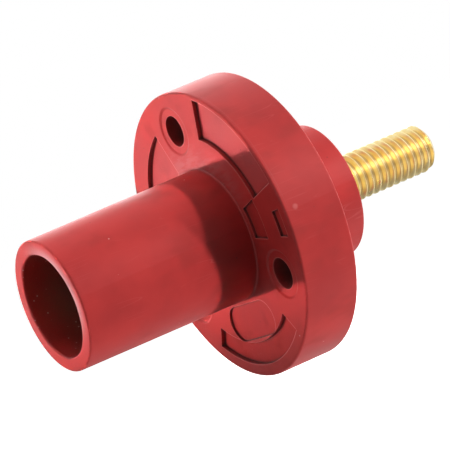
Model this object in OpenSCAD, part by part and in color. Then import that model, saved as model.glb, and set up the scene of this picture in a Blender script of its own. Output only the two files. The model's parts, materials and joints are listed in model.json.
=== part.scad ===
// Single pole cam lock panel receptacle: a moulded insulator with a turned brass contact in it.
// The connector lies along Y. Its sleeve points to -Y, its stud to +Y, and one hole is straight up.
// The origin is the middle of the flange's rear face, the face that seats on the panel.

/* [Flange] */
// Diameter of the flange at its front face
flange_d = 47.6; // [44:0.2:60]
// Thickness of the flange, from the panel face to the front face
flange_t = 9.65; // [6:0.05:14]
// Radius on the two edges of the rim
rim_edge_r = 0.35; // [0.1:0.05:0.6]
// Mould draft on the rim and on the outside of the sleeve, in degrees
draft = 0.5; // [0:0.1:1.5]

/* [Mounting holes] */
// Number of mounting holes, the first one at the top
hole_count = 3; // [2:1:4]
// Diameter of each mounting hole
hole_d = 5.1; // [3:0.1:6.4]
// Distance from the rim to the circle that the hole centres lie on
hole_inset = 6.15; // [5:0.05:7.5]
// Width of the sunk ring round each hole
spot_w = 1.55; // [0.5:0.05:2]
// Depth of the sunk ring round each hole
spot_depth = 0.2; // [0.1:0.05:1]
// Width of the slope at the outer edge of the sunk ring
spot_slope = 0.4; // [0.1:0.05:0.5]

/* [Sleeve] */
// Outer diameter of the sleeve at its mouth
sleeve_d = 21.45; // [20:0.05:24]
// Length of the sleeve in front of the flange
sleeve_len = 30.7; // [26:0.1:40]
// Inside diameter of the sleeve
bore_d = 16.8; // [14:0.1:18.4]
// Depth of the bore, from the mouth to its floor
bore_depth = 31.5; // [24:0.1:36]
// Radius on the edges of the mouth
mouth_edge_r = 0.3; // [0.1:0.05:0.7]
// Fillet where the sleeve leaves the flange
root_r = 0.3; // [0.1:0.05:0.6]

/* [Spigot] */
// Diameter of the spigot that goes through the panel
spigot_d = 22.3; // [20:0.1:28]
// Length of the spigot behind the panel face
spigot_len = 11.1; // [8:0.1:20]
// Radius on the edge of the spigot's end
spigot_edge_r = 0.4; // [0.1:0.05:1]

/* [Contact pin] */
// Diameter of the pin inside the sleeve
pin_d = 9.5; // [8:0.1:11]
// Distance from the mouth of the sleeve back to the tip of the pin
tip_recess = 8; // [4:0.1:14]
// Radius round the tip of the pin
tip_r = 1.2; // [0.3:0.1:2.5]
// Distance from the tip to the middle of the locking groove
groove_setback = 11; // [6:0.1:14]
// Width of the locking groove
groove_w = 3.4; // [2:0.1:4.5]
// Depth of the eccentric locking groove on its deep side, at the top
groove_deep = 1.8; // [1.6:0.05:2.6]
// Depth of the locking groove on its shallow side
groove_shallow = 0.3; // [0.1:0.05:1]
// Depth of the flat that runs from the tip to the locking groove
flat_depth = 1.45; // [0.8:0.05:1.5]

/* [Contact collar] */
// Width across the flats of the hexagonal collar that is moulded in
hex_af = 14.3; // [13:0.1:16]
// Chamfer on the corners of the collar
hex_chamfer = 0.6; // [0.2:0.05:1]
// Height of the collar's seat above the end of the spigot
collar_proud = 0.8; // [0.2:0.05:2]
// Thickness of the web between the collar and the floor of the bore
web_t = 4.75; // [2:0.05:7]
// Diameter of the turned neck that holds the collar in the moulding
neck_d = 11.8; // [11.1:0.1:12.8]
// Width of the turned neck
neck_w = 3; // [1:0.1:5]
// Clearance left by shrinkage between the contact and the moulding
mould_gap = 0.02; // [0:0.01:0.1]

/* [Stud] */
// Outer diameter of the threaded stud
stud_d = 7.9; // [6:0.1:10]
// Length of the stud behind the collar
stud_len = 19.6; // [12:0.1:40]
// Chamfer at the end of the stud
stud_chamfer = 0.8; // [0.2:0.05:1.5]
// Pitch of the stud's thread, which is turned as rings
thread_pitch = 1.411; // [0.8:0.001:2]

/* [Sunk panels] */
// Depth of the three large panels in the flange's front face
panel_depth = 0.75; // [0.2:0.05:1.5]
// Lip left between the right panel and the rim
right_panel_lip = 0.7; // [0.65:0.05:2]
// Radial width of the right panel
right_panel_w = 6.65; // [3:0.05:8]
// Angle where the right panel starts, counted from the right
right_panel_from = 12.3; // [8:0.1:30]
// Angle where the right panel ends
right_panel_to = 65.5; // [40:0.1:68]
// Distance from the rim to the left panel
left_panel_lip = 4.4; // [2:0.05:7]
// Angle where the left panel starts
left_panel_from = 110; // [108:0.5:125]
// Angle where the left panel ends
left_panel_to = 160; // [135:0.5:180]
// Distance from the rim to the bottom panel
bottom_panel_lip = 2.05; // [1:0.05:3]
// Radial width of the bottom panel
bottom_panel_w = 3.65; // [2:0.05:4.5]
// Angle where the bottom panel starts
bottom_panel_from = 232; // [230:0.5:250]
// Angle where the bottom panel ends
bottom_panel_to = 305.5; // [280:0.5:308]

/* [Mould inserts] */
// Depth of the three small insert faces
insert_depth = 0.4; // [0.1:0.05:1]
// Plain face left round each insert, towards the sleeve and the panels
insert_gap = 0.65; // [0.3:0.05:1.2]
// Length of the round-ended insert at the bottom
slot_insert_len = 14.5; // [8:0.1:16]
// Angle where the inner insert on the right starts
inner_insert_from = -11.2; // [-14:0.1:-4]
// Angle where the inner insert on the right ends
inner_insert_to = 12.4; // [4:0.1:18]
// Distance from the rim to the outer insert on the right
outer_insert_lip = 1.8; // [1:0.05:3]
// Radial width of the outer insert
outer_insert_w = 2.1; // [1:0.05:3]
// Angle where the outer insert starts
outer_insert_from = -9.7; // [-12:0.1:-4]
// Angle where the outer insert ends
outer_insert_to = 1.8; // [-1:0.1:6]

/* [Hidden] */
$fn = 96;
moulding_red = "#bd3b38";
brass = "#d8aa4c";
// Distance that a cutter stands clear of the face it cuts
over = 1;
arc_steps = 5;
top_angle = 90;

// Heights along the connector's axis, from the panel face towards the mouth
mouth_z = flange_t + sleeve_len;
floor_z = mouth_z - bore_depth;
tip_z = mouth_z - tip_recess;
groove_z = tip_z - groove_setback;
collar_front_z = floor_z - web_t;
collar_seat_z = -spigot_len - collar_proud;
neck_z = (collar_front_z - spigot_len) / 2;
stud_end_z = collar_seat_z - stud_len;

// Radii
rim_r = flange_d / 2;
rim_rear_r = rim_r + flange_t * tan(draft);
mouth_r = sleeve_d / 2;
root_z = flange_t + root_r;
sleeve_root_r = mouth_r + sleeve_len * tan(draft);
bore_r = bore_d / 2;
spigot_r = spigot_d / 2;
pin_r = pin_d / 2;
stud_r = stud_d / 2;
hole_circle_r = rim_r - hole_inset;
spot_r = hole_d / 2 + spot_w;
// The groove's core is a circle set off centre, away from the groove's deep side
groove_core_r = pin_r - (groove_deep + groove_shallow) / 2;
groove_offset = (groove_deep - groove_shallow) / 2;

// Section of the thread: flanks at 60 degrees to each other, a narrow crest and a flat root
thread_crest_w = thread_pitch / 8;
thread_root_w = thread_pitch / 4;
thread_mouth_w = thread_pitch - thread_crest_w;
thread_depth = (thread_mouth_w - thread_root_w) / 2 / tan(30);
thread_start_z = stud_end_z + stud_chamfer + thread_crest_w;
thread_turns = floor((collar_seat_z - thread_start_z) / thread_pitch);

// Edges of the sunk panels and inserts, as radii from the connector's axis
right_panel_out = rim_r - right_panel_lip;
right_panel_in = right_panel_out - right_panel_w;
left_panel_out = rim_r - left_panel_lip;
left_panel_in = sleeve_root_r + root_r + insert_gap;
bottom_panel_out = rim_r - bottom_panel_lip;
bottom_panel_in = bottom_panel_out - bottom_panel_w;
inner_insert_in = sleeve_root_r + root_r + insert_gap;
inner_insert_out = right_panel_in - insert_gap;
outer_insert_out = rim_r - outer_insert_lip;
outer_insert_in = outer_insert_out - outer_insert_w;
slot_insert_in = sleeve_root_r + root_r + insert_gap / 2;
slot_insert_w = bottom_panel_in - insert_gap - slot_insert_in;
slot_insert_mid = slot_insert_in + slot_insert_w / 2;

// Points of an arc round a centre, from one angle to another
function arc(centre, r, from, to) = [
    for (i = [0 : arc_steps])
        let (a = from + (to - from) * i / arc_steps)
        centre + r * [cos(a), sin(a)]
];

// Half section of the moulding, with the sleeve's bore open and the middle still solid
function insulator_section() = concat(
    [[0, -spigot_len]],
    arc([spigot_r - spigot_edge_r, spigot_edge_r - spigot_len], spigot_edge_r, -90, 0),
    [[spigot_r, 0]],
    arc([rim_rear_r - rim_edge_r, rim_edge_r], rim_edge_r, -90, 0),
    arc([rim_r - rim_edge_r, flange_t - rim_edge_r], rim_edge_r, 0, 90),
    arc([sleeve_root_r + root_r, root_z], root_r, 270, 180),
    arc([mouth_r - mouth_edge_r, mouth_z - mouth_edge_r], mouth_edge_r, 0, 90),
    arc([bore_r + mouth_edge_r, mouth_z - mouth_edge_r], mouth_edge_r, 90, 180),
    [[bore_r, floor_z], [0, floor_z]]
);

// Half section of one groove of the thread, from the crest it starts at
function thread_groove(start_z) =
    let (
        middle_z = start_z + thread_mouth_w / 2,
        bottom_r = stud_r - thread_depth
    )
    [
        [stud_r, start_z],
        [bottom_r, middle_z - thread_root_w / 2],
        [bottom_r, middle_z + thread_root_w / 2],
        [stud_r, start_z + thread_mouth_w]
    ];

// Half section of the pin and the stud, one bar turned to two diameters
function bar_section() = concat(
    [[0, stud_end_z], [stud_r - stud_chamfer, stud_end_z], [stud_r, stud_end_z + stud_chamfer]],
    [for (i = [0 : thread_turns - 1]) each thread_groove(thread_start_z + i * thread_pitch)],
    [[stud_r, neck_z], [pin_r, neck_z]],
    arc([pin_r - tip_r, tip_z - tip_r], tip_r, 0, 90),
    [[0, tip_z]]
);

// Half section that the collar is turned to: corners chamfered at both ends, a neck in the middle
function collar_section(grow, rear_z) =
    let (
        corner_r = hex_af / 2 / cos(30) + grow,
        face_r = hex_af / 2 + grow,
        neck_r = neck_d / 2 + grow,
        half_w = neck_w / 2 - grow,
        front_z = collar_front_z + grow
    )
    [
        [0, rear_z],
        [face_r, rear_z],
        [corner_r, rear_z + hex_chamfer],
        [corner_r, neck_z - half_w],
        [neck_r, neck_z - half_w],
        [neck_r, neck_z + half_w],
        [corner_r, neck_z + half_w],
        [corner_r, front_z - hex_chamfer],
        [face_r, front_z],
        [0, front_z]
    ];

// Hexagonal collar down to a height, grown by a clearance where it is used as a cutter
module collar(grow, rear_z) {
    across_corners = (hex_af + 2 * grow) / cos(30);
    intersection() {
        translate([0, 0, rear_z - over])
            cylinder(h = collar_front_z - rear_z + 2 * over, d = across_corners, $fn = 6);
        rotate_extrude()
            polygon(collar_section(grow, rear_z));
    }
}

// Room that the contact takes up in the moulding
module contact_pocket() {
    collar(mould_gap, collar_seat_z - over);
    translate([0, 0, neck_z])
        cylinder(h = floor_z - neck_z + over, r = pin_r + mould_gap);
}

// Part of a ring, sunk into the flange's front face
module sunk_ring_sector(r_in, r_out, from, to, depth) {
    translate([0, 0, flange_t - depth])
        rotate([0, 0, from])
            rotate_extrude(angle = to - from)
                translate([r_in, 0])
                    square([r_out - r_in, depth + over]);
}

// Round-ended insert face below the sleeve
module sunk_slot(len, width, depth) {
    reach = len / 2 - width / 2;
    translate([0, -slot_insert_mid, flange_t - depth]) {
        for (side = [-1, 1])
            translate([side * reach, 0, 0])
                cylinder(h = depth + over, d = width);
        translate([-reach, -width / 2, 0])
            cube([2 * reach, width, depth + over]);
    }
}

// Half section of the sunk ring round a hole, from its floor up past the flange's front face
function spot_section() = [
    [0, flange_t - spot_depth],
    [spot_r - spot_slope, flange_t - spot_depth],
    [spot_r, flange_t],
    [spot_r, flange_t + over],
    [0, flange_t + over]
];

// Mounting holes with their sunk rings
module mounting_holes() {
    for (i = [0 : hole_count - 1])
        rotate([0, 0, top_angle + i * 360 / hole_count])
            translate([hole_circle_r, 0, 0]) {
                translate([0, 0, -over])
                    cylinder(h = flange_t + 2 * over, d = hole_d);
                rotate_extrude()
                    polygon(spot_section());
            }
}

module sunk_panels() {
    sunk_ring_sector(right_panel_in, right_panel_out, right_panel_from, right_panel_to, panel_depth);
    sunk_ring_sector(left_panel_in, left_panel_out, left_panel_from, left_panel_to, panel_depth);
    sunk_ring_sector(bottom_panel_in, bottom_panel_out, bottom_panel_from, bottom_panel_to, panel_depth);
}

module mould_inserts() {
    sunk_ring_sector(inner_insert_in, inner_insert_out, inner_insert_from, inner_insert_to, insert_depth);
    sunk_ring_sector(outer_insert_in, outer_insert_out, outer_insert_from, outer_insert_to, insert_depth);
    sunk_slot(slot_insert_len, slot_insert_w, insert_depth);
}

// Flat from the tip to the groove, then a groove that tightens as the mating plug turns
module cam_lock_cut() {
    translate([-pin_r, pin_r - flat_depth, groove_z])
        cube([pin_d, pin_r, tip_z - groove_z + over]);
    translate([0, 0, groove_z - groove_w / 2])
        difference() {
            cylinder(h = groove_w, r = pin_r + over);
            translate([0, -groove_offset, -over])
                cylinder(h = groove_w + 2 * over, r = groove_core_r);
        }
}

// Turns the axis that the pieces are drawn on, upright, to the connector's own: mouth to -Y, top up
module lay_along_y() {
    rotate([90, 0, 0])
        children();
}

module insulator() {
    color(moulding_red)
        lay_along_y()
            difference() {
                rotate_extrude()
                    polygon(insulator_section());
                contact_pocket();
                mounting_holes();
                sunk_panels();
                mould_inserts();
            }
}

module contact() {
    color(brass)
        lay_along_y()
            difference() {
                union() {
                    rotate_extrude()
                        polygon(bar_section());
                    collar(0, collar_seat_z);
                }
                cam_lock_cut();
            }
}

insulator();
contact();
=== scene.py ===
"""Looks of a single pole cam lock panel receptacle: a red moulded insulator and a turned brass contact.

The connector lies along Y, with its mouth to -Y, its stud to +Y and one mounting hole straight up.
"""

import json
import math

import bpy
import numpy as np
from mathutils import Matrix, Vector


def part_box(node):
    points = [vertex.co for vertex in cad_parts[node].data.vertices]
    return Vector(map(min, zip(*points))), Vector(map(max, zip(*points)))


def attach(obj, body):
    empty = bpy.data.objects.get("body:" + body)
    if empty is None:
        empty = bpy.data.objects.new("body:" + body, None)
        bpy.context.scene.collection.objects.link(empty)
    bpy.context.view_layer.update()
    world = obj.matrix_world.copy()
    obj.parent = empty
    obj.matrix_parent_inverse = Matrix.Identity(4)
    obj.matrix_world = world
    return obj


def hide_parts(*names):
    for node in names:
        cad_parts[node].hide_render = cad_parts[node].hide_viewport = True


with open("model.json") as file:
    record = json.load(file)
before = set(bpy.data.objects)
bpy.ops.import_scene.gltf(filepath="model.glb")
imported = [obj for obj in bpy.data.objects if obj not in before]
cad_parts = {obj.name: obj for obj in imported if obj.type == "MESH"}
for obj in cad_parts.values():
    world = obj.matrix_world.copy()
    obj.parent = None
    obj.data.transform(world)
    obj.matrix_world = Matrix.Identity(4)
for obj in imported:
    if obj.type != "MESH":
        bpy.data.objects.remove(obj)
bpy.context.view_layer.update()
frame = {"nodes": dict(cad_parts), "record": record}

MM = 0.001

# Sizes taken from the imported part
mounts = {mount["name"]: mount for mount in frame["record"]["mounts"]}
contact_low, contact_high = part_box("contact")
insulator_low, insulator_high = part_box("insulator")
stud_r = mounts["stud"]["dims"]["r_mm"] * MM
stud_end_y = contact_high.y
pin_tip_y = contact_low.y
hex_half_flats = contact_high.z
hex_half_corners = contact_high.x
mouth_y = insulator_low.y
spigot_end_y = insulator_high.y

# Sizes of the contact that its box does not show
COLLAR_PROUD = 0.8 * MM
COLLAR_CHAMFER = 0.6 * MM
COLLAR_FRONT_Y = -4.1 * MM
NECK_Y = 3.5 * MM
NECK_HALF_WIDTH = 1.5 * MM
NECK_R = 5.9 * MM
PIN_R = 4.75 * MM
PIN_TIP_ROUND = 1.2 * MM
FLAT_DEPTH = 1.45 * MM
GROOVE_SETBACK = 11 * MM
GROOVE_HALF_WIDTH = 1.7 * MM
GROOVE_DEEP = 1.8 * MM
GROOVE_SHALLOW = 0.3 * MM
STUD_CHAMFER = 0.8 * MM
THREAD_PITCH = 25.4 / 18 * MM
THREAD_RUN_OUT = 1.2 * MM

# Fineness of the contact's grid
CONTACT_COLUMNS = 240
ROWS_PER_PITCH = 24
CHAMFER_ROWS = 9
TIP_ROWS = 7
SHARP_ANGLE = math.radians(40)

# Places where the finish changes, in millimetres as the materials read them
THREAD_DEPTH = 0.76
FACE_Y = -9.65
PANEL_Y = -8.9
SLEEVE_ROOT_R = 11.0
BORE_R = 8.4
RIM_MIDDLE_R = 10.4
FLASH_Y = -0.15
FLASH_R = 23.6
GATE_PLACE = (23.83, -7.7, 0.1)

# Reach of the edge and corner masks
EDGE_ROUND = 0.25 * MM
EDGE_WEAR_AND_HIGHLIGHT_ROUND = 0.5 * MM
CORNER_REACH = 0.8 * MM
HOLLOW_REACH = 25 * MM
MASK_SAMPLES = {"samples": 8}

# Where the camera stands: a level view from the front right, with the picture turned a little
CAMERA_EYE = Vector((406.622, -216.656, 12.527)) * MM
CAMERA_TURN = math.radians(62.79)
CAMERA_DIP = math.radians(1.44)
CAMERA_ROLL = math.radians(22.5)
CAMERA_LENS = 232.4
CAMERA_NEAR = 0.01
CAMERA_FAR = 50

# Soft boxes a metre from the part: name, side that it stands on, width in metres and level
SOFT_BOXES = (
    ("upper_box", (0.426, 0.42, 0.802), 0.06, 0.63),
    ("low_box", (0.545, 0.46, -0.697), 0.06, 0.79),
    ("right_box", (0.87, 0.48, 0.07), 0.06, 0.05),
    ("left_box", (-0.9, 0.3, 0.3), 0.5, 0.6),
    ("top_box", (0.0, 0.0, 1.0), 0.7, 0.32),
    ("rear_box", (0.15, 0.85, 0.5), 0.3, 0.16),
    ("front_box", (-0.13, -0.97, 0.18), 0.8, 0.22),
)
BEAM_AIM = (0.0, 0.0, 44 * MM)
BEAM_SPREAD = math.radians(4)

# Share of the surround's white that lights the part
SURROUND_LIGHT = 0.03

FLOOR_Z = -70 * MM
FLOOR_HALF = 8.0

# The shade card: an upright rectangle across the way that the flange's face mirrors the camera's view
CARD_AWAY = Vector((-0.882, -0.470, 0.0))
CARD_ACROSS = Vector((0.470, -0.882, 0.0))
CARD_FOOT = Vector((5.0, FACE_Y, 0.0)) * MM
CARD_DISTANCE = 55 * MM
CARD_HALF_WIDTH = 45 * MM
CARD_LOW_Z = -69 * MM
CARD_HIGH_Z = -8 * MM
CARD_GREY = 0.3


class Wire:
    """One output socket of a node tree; sums and products of wires add Math nodes to the tree."""

    def __init__(self, tree, socket):
        self.tree = tree
        self.socket = socket

    def node(self, kind, settings=None, inputs=None, output=0):
        """Adds a node of that type, sets its settings first, then its sockets, and gives one output."""
        return add_node(self.tree, kind, settings, inputs, output)

    def math(self, operation, first, second=0.0):
        """One Math node on two wires or numbers."""
        return self.node("ShaderNodeMath", {"operation": operation}, {0: first, 1: second})

    def __add__(self, other):
        return self.math("ADD", self, other)

    def __radd__(self, other):
        return self.math("ADD", other, self)

    def __sub__(self, other):
        return self.math("SUBTRACT", self, other)

    def __rsub__(self, other):
        return self.math("SUBTRACT", other, self)

    def __mul__(self, other):
        return self.math("MULTIPLY", self, other)

    def __rmul__(self, other):
        return self.math("MULTIPLY", other, self)

    def __abs__(self):
        return self.math("ABSOLUTE", self)

    def capped(self):
        """This value, held to 1 at most."""
        return self.math("MINIMUM", self, 1.0)

    def rise(self, low, high, start=0.0, end=1.0):
        """Smooth step from start to end as the value goes from low to high."""
        return self.node(
            "ShaderNodeMapRange",
            {"interpolation_type": "SMOOTHSTEP", "clamp": True},
            {"Value": self, "From Min": low, "From Max": high, "To Min": start, "To Max": end},
        )

    def noise(self, scale, detail=2.0, roughness=0.5):
        """Soft random field over these coordinates, from 0 to 1."""
        return self.node(
            "ShaderNodeTexNoise", None,
            {"Vector": self, "Scale": scale, "Detail": detail, "Roughness": roughness},
        )

    def vector(self, operation, other=None, output=0):
        """One Vector Math node on this wire; its second output holds a length or a dot product."""
        inputs = {0: self} if other is None else {0: self, 1: other}
        return self.node("ShaderNodeVectorMath", {"operation": operation}, inputs, output)

    def along(self, axis):
        """One coordinate of a position, by the number of its axis."""
        return self.node("ShaderNodeSeparateXYZ", None, {0: self}, output=axis)

    def from_axis(self):
        """Distance of a position from the connector's axis."""
        return self.vector("MULTIPLY", (1.0, 0.0, 1.0)).vector("LENGTH", output=1)

    def cells(self, scale, output):
        """Cells round scattered points: output 0 is the distance to the nearest, 1 a colour per cell."""
        return self.node("ShaderNodeTexVoronoi", None, {"Vector": self, "Scale": scale}, output)

    def stretched(self, scale, turn=(0.0, 0.0, 0.0)):
        """These coordinates turned and scaled along each axis."""
        return self.node("ShaderNodeMapping", None, {"Vector": self, "Rotation": turn, "Scale": scale})

    def rounded(self, radius):
        """Surface normal smoothed over the edges within that radius."""
        return self.node("ShaderNodeBevel", MASK_SAMPLES, {"Radius": radius})

    def openness(self, reach):
        """1 on open surfaces, less where other surfaces stand within reach."""
        return self.node("ShaderNodeAmbientOcclusion", MASK_SAMPLES, {"Distance": reach}, output=1)


def add_node(tree, kind, settings=None, inputs=None, output=0):
    """Adds a node, sets its settings and then its sockets, and wraps one output unless that is None."""
    made = tree.nodes.new(kind)
    for key, value in (settings or {}).items():
        setattr(made, key, value)
    for key, value in (inputs or {}).items():
        if isinstance(value, Wire):
            tree.links.new(value.socket, made.inputs[key])
        else:
            made.inputs[key].default_value = value
    return None if output is None else Wire(tree, made.outputs[output])


def mix_colour(factor, first, second):
    """Blend of two colours, each a wire or an RGBA tuple."""
    return factor.node(
        "ShaderNodeMix", {"data_type": "RGBA"},
        {"Factor": factor, 6: first, 7: second}, output=2,
    )


def mix_vector(factor, first, second):
    """Blend of two vectors, each a wire."""
    return factor.node(
        "ShaderNodeMix", {"data_type": "VECTOR"},
        {"Factor": factor, 4: first, 5: second}, output=1,
    )


def new_material(name):
    """Empty principled material, its shader and its object coordinates in millimetres."""
    material = bpy.data.materials.new(name)
    material.use_nodes = True
    tree = material.node_tree
    shader = tree.nodes["Principled BSDF"]
    coordinates = add_node(tree, "ShaderNodeTexCoord", output=3)
    in_mm = coordinates.node(
        "ShaderNodeVectorMath", {"operation": "SCALE"}, {0: coordinates, "Scale": 1 / MM}
    )
    return material, shader, in_mm


def feed(shader, **sockets):
    """Sets the shader's sockets, with underscores for the spaces in their names."""
    for key, value in sockets.items():
        socket = shader.inputs[key.replace("_", " ")]
        if isinstance(value, Wire):
            value.tree.links.new(value.socket, socket)
        else:
            socket.default_value = value


def specks(place, spacing, radius, share):
    """Small round grains scattered over a surface: 1 in the grain of a share of the cells, 0 elsewhere."""
    distance = place.cells(1 / spacing, 0)
    chance = place.cells(1 / spacing, 1).along(0)
    size = radius / spacing
    return distance.rise(size, size * 0.5) * chance.rise(1 - share, 1 - share + 0.02)


def scratches(place, turn, length, width, share):
    """Thin pale lines in one direction: where a noise drawn out along it crosses its middle value."""
    drawn = place.stretched((1 / width, 1 / length, 1 / width), turn).noise(1.0, 0.0)
    line = abs(drawn - 0.5).rise(0.012, 0.0)
    patch = place.stretched((1.0, 1.0, 1.0), turn).noise(0.13, 1.0)
    return line * patch.rise(1 - share, 1 - share + 0.1)


def moulded_red():
    """Satin red plastic: faint flow mottling, handling marks and dust; pale edges, partly worn and partly a
    painted highlight; a painted sheen on the face, panels and mouth; and painted shade in corners, the bore
    and holes.
    """
    material, shader, place = new_material("moulded_red")
    right, height, up = (place.along(axis) for axis in range(3))
    radius = place.from_axis()

    deep_red = (0.47, 0.034, 0.033, 1.0)
    warm_red = (0.58, 0.045, 0.042, 1.0)
    soiled_red = (0.27, 0.034, 0.030, 1.0)
    dark_grain_and_shade_red = (0.09, 0.036, 0.034, 1.0)
    hollow_shade_red = (0.085, 0.056, 0.052, 1.0)
    pale_red = (0.72, 0.17, 0.16, 1.0)
    sheen_pale_red = (0.57, 0.26, 0.27, 1.0)
    dust_grey = (0.75, 0.45, 0.42, 1.0)

    flow = place.noise(0.09, 3.0, 0.55)
    smudge = place.stretched((1.0, 0.6, 1.0)).noise(0.2, 2.5, 0.5).rise(0.5, 0.75)
    colour = mix_colour(flow.rise(0.3, 0.7), deep_red, warm_red)
    colour = mix_colour(smudge * 0.35, colour, soiled_red)

    # Painted sheen, a pale haze on the upper panels' floors, round the sleeve's root and on the mouth's rim
    panel_floor = abs(height - PANEL_Y).rise(0.04, 0.02) * radius.rise(SLEEVE_ROOT_R, SLEEVE_ROOT_R + 0.4)
    colour = mix_colour(panel_floor * up.rise(-4.0, 6.0, 0.0, 0.15), colour, sheen_pale_red)
    streaks = place.stretched((0.4, 1.0, 1.8), (0.0, 0.5, 0.0)).noise(1.0, 3.0, 0.6)
    face_sheen = abs(height - FACE_Y).rise(0.1, 0.03) * radius.rise(SLEEVE_ROOT_R + 6.0, SLEEVE_ROOT_R + 0.5)
    face_sheen = face_sheen * up.rise(0.0, 9.0) * streaks.rise(0.35, 0.6, 0.35, 1.0)
    rim_y = mouth_y / MM
    mouth_sheen = height.rise(rim_y + 0.25, rim_y + 0.1) * radius.rise(RIM_MIDDLE_R, BORE_R + 0.4)
    mouth_sheen = mouth_sheen * right.rise(-4.0, 6.0) * up.rise(-8.0, 0.0)
    colour = mix_colour(face_sheen * 0.3 + mouth_sheen * 0.85, colour, sheen_pale_red)

    scratch_set = (
        scratches(place, (0.0, 0.3, 0.5), 20.0, 1.6, 0.42)
        + scratches(place, (0.9, 0.0, -0.7), 16.0, 1.4, 0.40)
        + scratches(place, (-0.4, 0.5, 1.3), 24.0, 1.5, 0.42)
    )
    colour = mix_colour(scratch_set.capped() * 0.2, colour, pale_red)

    # Pale and dark grains of dust
    colour = mix_colour(specks(place, 2.2, 0.16, 0.16) * 0.7, colour, dust_grey)
    colour = mix_colour(specks(place, 1.7, 0.15, 0.12) * 0.5, colour, dark_grain_and_shade_red)

    # The flash line along the flange's rear edge and the gate mark on its side
    flash = radius.rise(FLASH_R, FLASH_R + 0.1) * height.rise(FLASH_Y - 0.12, FLASH_Y)
    flash = flash * place.noise(1.4, 2.0).rise(0.45, 0.6)
    gate = place.vector("DISTANCE", GATE_PLACE, output=1).rise(0.62, 0.2)
    colour = mix_colour((flash + gate).capped() * 0.55, colour, pale_red)

    # Pale convex edges, partly wear and partly a painted highlight; painted shade in dark concave corners
    # and in a dull dark bore and holes; dust in the bore
    surface = place.node("ShaderNodeNewGeometry", output=1)
    turned = 1.0 - place.rounded(EDGE_WEAR_AND_HIGHLIGHT_ROUND).vector("DOT_PRODUCT", surface, output=1)
    corner = place.openness(CORNER_REACH)
    # Paler convex edges: partly wear, partly a painted highlight along them
    edge_wear_and_highlight = turned.rise(0.015, 0.15) * corner.rise(0.9, 0.99)
    colour = mix_colour(edge_wear_and_highlight * 0.8, colour, pale_red)
    # Painted shade: darker red in concave corners
    colour = mix_colour(corner.rise(0.85, 0.45) * 0.85, colour, dark_grain_and_shade_red)
    # Painted shade: dull dark red deep in the bore and the holes, darker the more enclosed
    colour = mix_colour(place.openness(HOLLOW_REACH).rise(0.5, 0.15) * 0.85, colour, hollow_shade_red)
    in_bore = radius.rise(BORE_R + 0.2, BORE_R + 0.05) * height.rise(PANEL_Y + 0.4, PANEL_Y)
    colour = mix_colour(specks(place, 1.15, 0.17, 0.5) * in_bore * 0.6, colour, dust_grey)

    grain = place.noise(4.0, 2.0, 0.6) * 0.35 + place.noise(0.8, 2.0) * 0.65
    stipple = place.noise(2.4, 2.0, 0.6) * panel_floor
    relief = grain + stipple * 6.0 + gate * 6.0
    softened = mix_vector(corner.rise(0.85, 0.97), surface, place.rounded(EDGE_ROUND))
    bump = place.node(
        "ShaderNodeBump", None,
        {"Strength": 0.1, "Distance": 0.05 * MM, "Height": relief, "Normal": softened},
    )
    roughness = flow.rise(0.25, 0.75, 0.38, 0.48) + panel_floor * 0.08 + smudge * 0.08
    feed(
        shader, Base_Color=colour, Roughness=roughness, Normal=bump, IOR=1.5, Specular_IOR_Level=0.35,
    )
    return material


def turned_brass():
    """Bright turned brass: fine rings from the tool and uneven polish, with painted shade in the thread:
    deeper gold down its flanks and brown along its roots.
    """
    material, shader, place = new_material("turned_brass")
    radius = place.from_axis()
    bright = (0.98, 0.84, 0.45, 1.0)
    warm = (0.95, 0.74, 0.32, 1.0)
    deep_gold = (0.86, 0.52, 0.13, 1.0)
    brown = (0.36, 0.20, 0.06, 1.0)

    cloud = place.noise(0.5, 3.0, 0.6)
    colour = mix_colour(cloud.rise(0.35, 0.7), bright, warm)

    root_r = stud_r / MM - THREAD_DEPTH
    collar_seat_y = (spigot_end_y + COLLAR_PROUD) / MM
    on_stud = place.along(1).rise(collar_seat_y, collar_seat_y + 0.2)
    # Painted shade in the thread: deeper gold down its flanks and brown along its roots
    colour = mix_colour(radius.rise(root_r + 0.7, root_r + 0.1) * on_stud * 0.28, colour, deep_gold)
    colour = mix_colour(radius.rise(root_r + 0.2, root_r + 0.02) * on_stud * 0.6, colour, brown)

    rings = place.stretched((0.15, 9.0, 0.15)).noise(1.0, 2.0, 0.6)
    bump = place.node(
        "ShaderNodeBump", None, {"Strength": 0.15, "Distance": 0.03 * MM, "Height": rings}
    )
    feed(
        shader, Base_Color=colour, Metallic=1.0, Roughness=cloud.rise(0.2, 0.8, 0.26, 0.36), Normal=bump
    )
    return material


def thread_depth(phase):
    """How far a 60 degree thread lies below its crest, in pitches.

    It is a triangle wave cut flat at crest and root, averaged over a short stretch of the phase, which
    rounds the crest and the root.
    """
    sharp = math.sqrt(3) / 2
    crest, root = sharp * 7 / 8, sharp / 4
    stretch = np.linspace(-0.05, 0.05, 9)
    wave = np.abs(2 * ((phase[..., None] + stretch) % 1.0) - 1) * sharp
    return crest - np.clip(wave, root, crest).mean(axis=-1)


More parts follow.
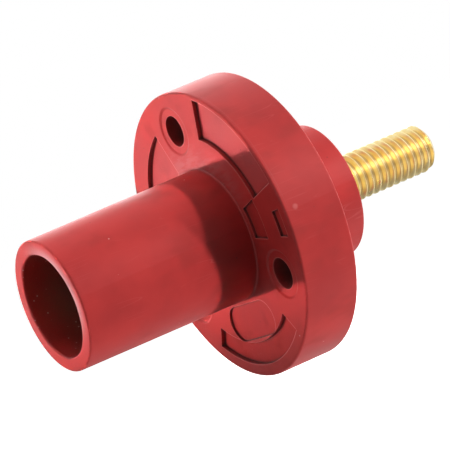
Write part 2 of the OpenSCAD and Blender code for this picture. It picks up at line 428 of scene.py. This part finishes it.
def contact_rows(angle):
    """Rows of the contact from stud end to pin tip.

    Gives the height of each row, its radius at every angle, and whether the band after it is shaded smooth.
    Every section is star shaped about the axis, so the whole piece is one radius over angle and height: the
    stud is its outer radius less the thread, the collar a hexagon held inside a chamfer cone and a neck, and
    the pin a circle held inside the entry flat and the off-centre circle of the locking groove.
    """
    heights = []
    radii = []
    smooth = []

    def row(y, radius, rounded=True):
        heights.append(np.full(angle.shape, y))
        radii.append(np.broadcast_to(radius, angle.shape))
        smooth.append(rounded)

    collar_seat_y = spigot_end_y + COLLAR_PROUD
    hexagon = hex_half_flats / np.cos((angle % math.radians(60)) - math.radians(30))

    turns = (stud_end_y - collar_seat_y) / THREAD_PITCH
    for y in np.linspace(stud_end_y, collar_seat_y, int(turns * ROWS_PER_PITCH)):
        depth = thread_depth(y / THREAD_PITCH + angle / (2 * math.pi)) * THREAD_PITCH
        cut = np.clip((y - collar_seat_y) / THREAD_RUN_OUT, 0, 1)
        chamfer = stud_r - STUD_CHAMFER + (stud_end_y - y)
        row(y, np.minimum(stud_r - depth * cut, chamfer))

    for step in np.linspace(0, 1, CHAMFER_ROWS):
        cone_r = hex_half_flats + (hex_half_corners - hex_half_flats) * step
        row(collar_seat_y - COLLAR_CHAMFER * step, np.minimum(hexagon, cone_r), rounded=False)
    row(NECK_Y + NECK_HALF_WIDTH, hexagon, rounded=False)
    row(NECK_Y + NECK_HALF_WIDTH, NECK_R, rounded=False)
    row(NECK_Y - NECK_HALF_WIDTH, NECK_R, rounded=False)
    row(NECK_Y - NECK_HALF_WIDTH, hexagon, rounded=False)
    row(COLLAR_FRONT_Y + COLLAR_CHAMFER, hexagon, rounded=False)
    row(COLLAR_FRONT_Y, np.minimum(hexagon, hex_half_flats), rounded=False)
    row(COLLAR_FRONT_Y, PIN_R)

    groove_y = pin_tip_y + GROOVE_SETBACK
    core_r = PIN_R - (GROOVE_DEEP + GROOVE_SHALLOW) / 2
    offset = (GROOVE_DEEP - GROOVE_SHALLOW) / 2
    groove = -offset * np.sin(angle) + np.sqrt(core_r**2 - (offset * np.cos(angle)) ** 2)
    upward = np.maximum(np.sin(angle), 1e-6)
    flat = (PIN_R - FLAT_DEPTH) / upward
    row(groove_y + GROOVE_HALF_WIDTH, PIN_R)
    row(groove_y + GROOVE_HALF_WIDTH, groove)
    row(groove_y - GROOVE_HALF_WIDTH, groove)
    row(groove_y - GROOVE_HALF_WIDTH, np.minimum(PIN_R, flat))
    for turn in np.radians(np.linspace(0, 90, TIP_ROWS)):
        tip = PIN_R - PIN_TIP_ROUND * (1 - math.cos(turn))
        row(pin_tip_y + PIN_TIP_ROUND * (1 - math.sin(turn)), np.minimum(tip, flat))
    return np.array(heights), np.array(radii), np.array(smooth)


def closed_turned_mesh(name, heights, radii, smooth, angle):
    """Closed mesh of rows round the Y axis, with a centre point that closes each end.

    The band after each row is shaded smooth or flat, as that row says; both ends are flat.
    """
    count, columns = radii.shape
    ring = np.stack([radii * np.cos(angle), heights, radii * np.sin(angle)], axis=-1).reshape(-1, 3)
    ends = np.array([[0, heights[0, 0], 0], [0, heights[-1, 0], 0]])
    column = np.arange(columns)
    after = (column + 1) % columns
    start = np.arange(count - 1)[:, None] * columns
    quads = np.stack(
        [start + column, start + after, start + columns + after, start + columns + column], axis=-1
    ).reshape(-1, 4)
    first, last = len(ring), len(ring) + 1
    last_row = (count - 1) * columns
    first_cap = np.stack([np.full(columns, first), after, column], axis=-1)
    last_cap = np.stack([np.full(columns, last), last_row + column, last_row + after], axis=-1)
    mesh = bpy.data.meshes.new(name)
    mesh.from_pydata(
        np.concatenate([ring, ends]).tolist(), [],
        quads.tolist() + first_cap.tolist() + last_cap.tolist(),
    )
    mesh.shade_smooth()
    mesh.set_sharp_from_angle(angle=SHARP_ANGLE)
    mesh.polygons.foreach_set("use_smooth", np.repeat(np.append(smooth[:-1], [False, False]), columns))
    return placed(name, mesh)


def placed(name, data):
    """New object of that name in the scene."""
    made = bpy.data.objects.new(name, data)
    bpy.context.scene.collection.objects.link(made)
    return made


def build_contact(material):
    """The brass contact with its helical thread, in place of the solid with thread rings."""
    angle = np.arange(CONTACT_COLUMNS) * 2 * math.pi / CONTACT_COLUMNS
    heights, radii, smooth = contact_rows(angle)
    contact = closed_turned_mesh("threaded_contact", heights, radii, smooth, angle)
    contact.data.materials.append(material)
    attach(contact, "root")
    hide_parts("contact")


def dress(node, material):
    """Gives a CAD node's object its finish."""
    for slot in frame["nodes"][node].material_slots:
        slot.material = material


def place_camera():
    """Camera at its eye point, turned about Z, dipped and then rolled about its own view."""
    data = bpy.data.cameras.new("camera")
    data.lens = CAMERA_LENS
    data.clip_start = CAMERA_NEAR
    data.clip_end = CAMERA_FAR
    camera = placed("camera", data)
    camera.location = CAMERA_EYE
    turn = Matrix.Rotation(CAMERA_TURN, 3, "Z")
    tilt = Matrix.Rotation(math.radians(90) - CAMERA_DIP, 3, "X")
    roll = Matrix.Rotation(-CAMERA_ROLL, 3, "Z")
    camera.rotation_euler = (turn @ tilt @ roll).to_euler()
    bpy.context.scene.camera = camera


def soft_box(name, direction, size, level, aim=(0.0, 0.0, 0.0), distance=1.0):
    """Square area lamp that faces the aimed point; at level 1 a facing surface shows about its own colour.

    It lights surfaces but is not mirrored in them, as the white surround already gives the reflections.
    """
    data = bpy.data.lights.new(name, "AREA")
    data.shape = "SQUARE"
    data.size = size
    data.energy = level * math.pi**2 * distance**2
    lamp = placed(name, data)
    towards = Vector(direction).normalized()
    lamp.location = Vector(aim) + towards * distance
    lamp.rotation_euler = towards.to_track_quat("Z", "Y").to_euler()
    lamp.visible_glossy = False
    return lamp


def mirrored_box(name, direction, size, level, **placing):
    """Soft box that is seen in reflections only."""
    lamp = soft_box(name, direction, size, level, **placing)
    lamp.visible_glossy = True
    lamp.visible_diffuse = False


def light_set():
    """Soft boxes on all sides, the strongest behind the part on the right, so the flange shades the sleeve.

    A narrow beam from the left lights the upper half of the flange's face and fades out below. Three more
    boxes are only mirrored: a sheen where the plastic turns away at the top, and a glint and a fill on the
    stud.
    """
    for name, direction, size, level in SOFT_BOXES:
        soft_box(name, direction, size, level)
    beam = soft_box("left_beam", (-0.57, -0.82, 0.0), 0.12, 0.035, aim=BEAM_AIM, distance=0.4)
    beam.data.spread = BEAM_SPREAD
    mirrored_box("back_sheen", (-0.8, 0.47, 0.35), 0.5, 0.2)
    stud_middle = (0.0, (spigot_end_y + stud_end_y) / 2, 0.0)
    mirrored_box("stud_glint", (0.79, 0.5, 0.34), 0.06, 0.25, aim=stud_middle, distance=0.15)
    mirrored_box("stud_fill", (0.42, 0.47, -0.78), 0.05, 0.16, aim=stud_middle, distance=0.06)


def ray_kinds(tree):
    """1 for a camera ray and 0 for others, and the same for rays from a reflection or through glass."""
    camera, glossy, through = (
        add_node(tree, "ShaderNodeLightPath", output=key)
        for key in ("Is Camera Ray", "Is Glossy Ray", "Is Transmission Ray")
    )
    return camera, (glossy + through).capped()


def white_surround():
    """World that looks white and lights the part only faintly."""
    world = bpy.data.worlds.new("surround")
    bpy.context.scene.world = world
    world.use_nodes = True
    tree = world.node_tree
    camera, mirrored = ray_kinds(tree)
    seen = (camera + mirrored).capped()
    strength = seen * (1.0 - SURROUND_LIGHT) + SURROUND_LIGHT
    feed(tree.nodes["Background"], Color=(1.0, 1.0, 1.0, 1.0), Strength=strength)


def flat_plate(name, corners, material):
    """One four-cornered face."""
    mesh = bpy.data.meshes.new(name)
    mesh.from_pydata([tuple(corner) for corner in corners], [], [(0, 1, 2, 3)])
    mesh.materials.append(material)
    return placed(name, mesh)


def floor_white():
    """Pale matt floor that is white further out.

    It glows more with the distance from the part, so round the part it is greyer, a painted shade; in
    reflections it stays darker for longer, a painted shade as under a part that stands between it and the
    lamps.
    """
    material = bpy.data.materials.new("floor_white")
    material.use_nodes = True
    tree = material.node_tree
    tree.nodes.clear()
    place = add_node(tree, "ShaderNodeTexCoord", output=3)
    reach = place.vector("MULTIPLY", (1.0, 1.0, 0.0)).vector("LENGTH", output=1)
    camera, mirrored = ray_kinds(tree)
    shade = camera * 0.5 + mirrored * 0.3 + 0.1
    shade = shade.node("ShaderNodeCombineColor", None, {0: shade, 1: shade, 2: shade})
    diffuse = add_node(tree, "ShaderNodeBsdfDiffuse", None, {"Color": shade})
    seen_glow = camera * reach.rise(40 * MM, 150 * MM, 0.35, 1.0)
    mirrored_glow = mirrored * reach.rise(0.3, 0.9, 0.2, 1.0)
    glow = add_node(tree, "ShaderNodeEmission", None, {"Strength": seen_glow + mirrored_glow})
    both = add_node(tree, "ShaderNodeAddShader", None, {0: diffuse, 1: glow})
    add_node(tree, "ShaderNodeOutputMaterial", None, {"Surface": both}, output=None)
    return material


def pale_floor():
    """Floor well below the part, which its panel would hold; it takes the shadow and blocks no lamp."""
    corners = [
        (-FLOOR_HALF, -FLOOR_HALF, FLOOR_Z), (FLOOR_HALF, -FLOOR_HALF, FLOOR_Z),
        (FLOOR_HALF, FLOOR_HALF, FLOOR_Z), (-FLOOR_HALF, FLOOR_HALF, FLOOR_Z),
    ]
    floor = flat_plate("floor", corners, floor_white())
    floor.visible_shadow = False


def shade_card():
    """Grey card low on the left of the sleeve, only seen mirrored in the lower half of the flange's face."""
    middle = CARD_FOOT + CARD_AWAY * CARD_DISTANCE
    half = CARD_ACROSS * CARD_HALF_WIDTH
    low = Vector((0.0, 0.0, CARD_LOW_Z))
    high = Vector((0.0, 0.0, CARD_HIGH_Z))
    corners = [middle - half + low, middle + half + low, middle + half + high, middle - half + high]
    material = bpy.data.materials.new("card_grey")
    material.use_nodes = True
    feed(
        material.node_tree.nodes["Principled BSDF"],
        Base_Color=(0.0, 0.0, 0.0, 1.0), Specular_IOR_Level=0.0,
        Emission_Color=(1.0, 1.0, 1.0, 1.0), Emission_Strength=CARD_GREY,
    )
    card = flat_plate("shade_card", corners, material)
    card.visible_camera = False
    card.visible_diffuse = False
    card.visible_shadow = False


bpy.context.scene.view_settings.view_transform = "Standard"
dress("insulator", moulded_red())
build_contact(turned_brass())
place_camera()
light_set()
white_surround()
pale_floor()
shade_card()
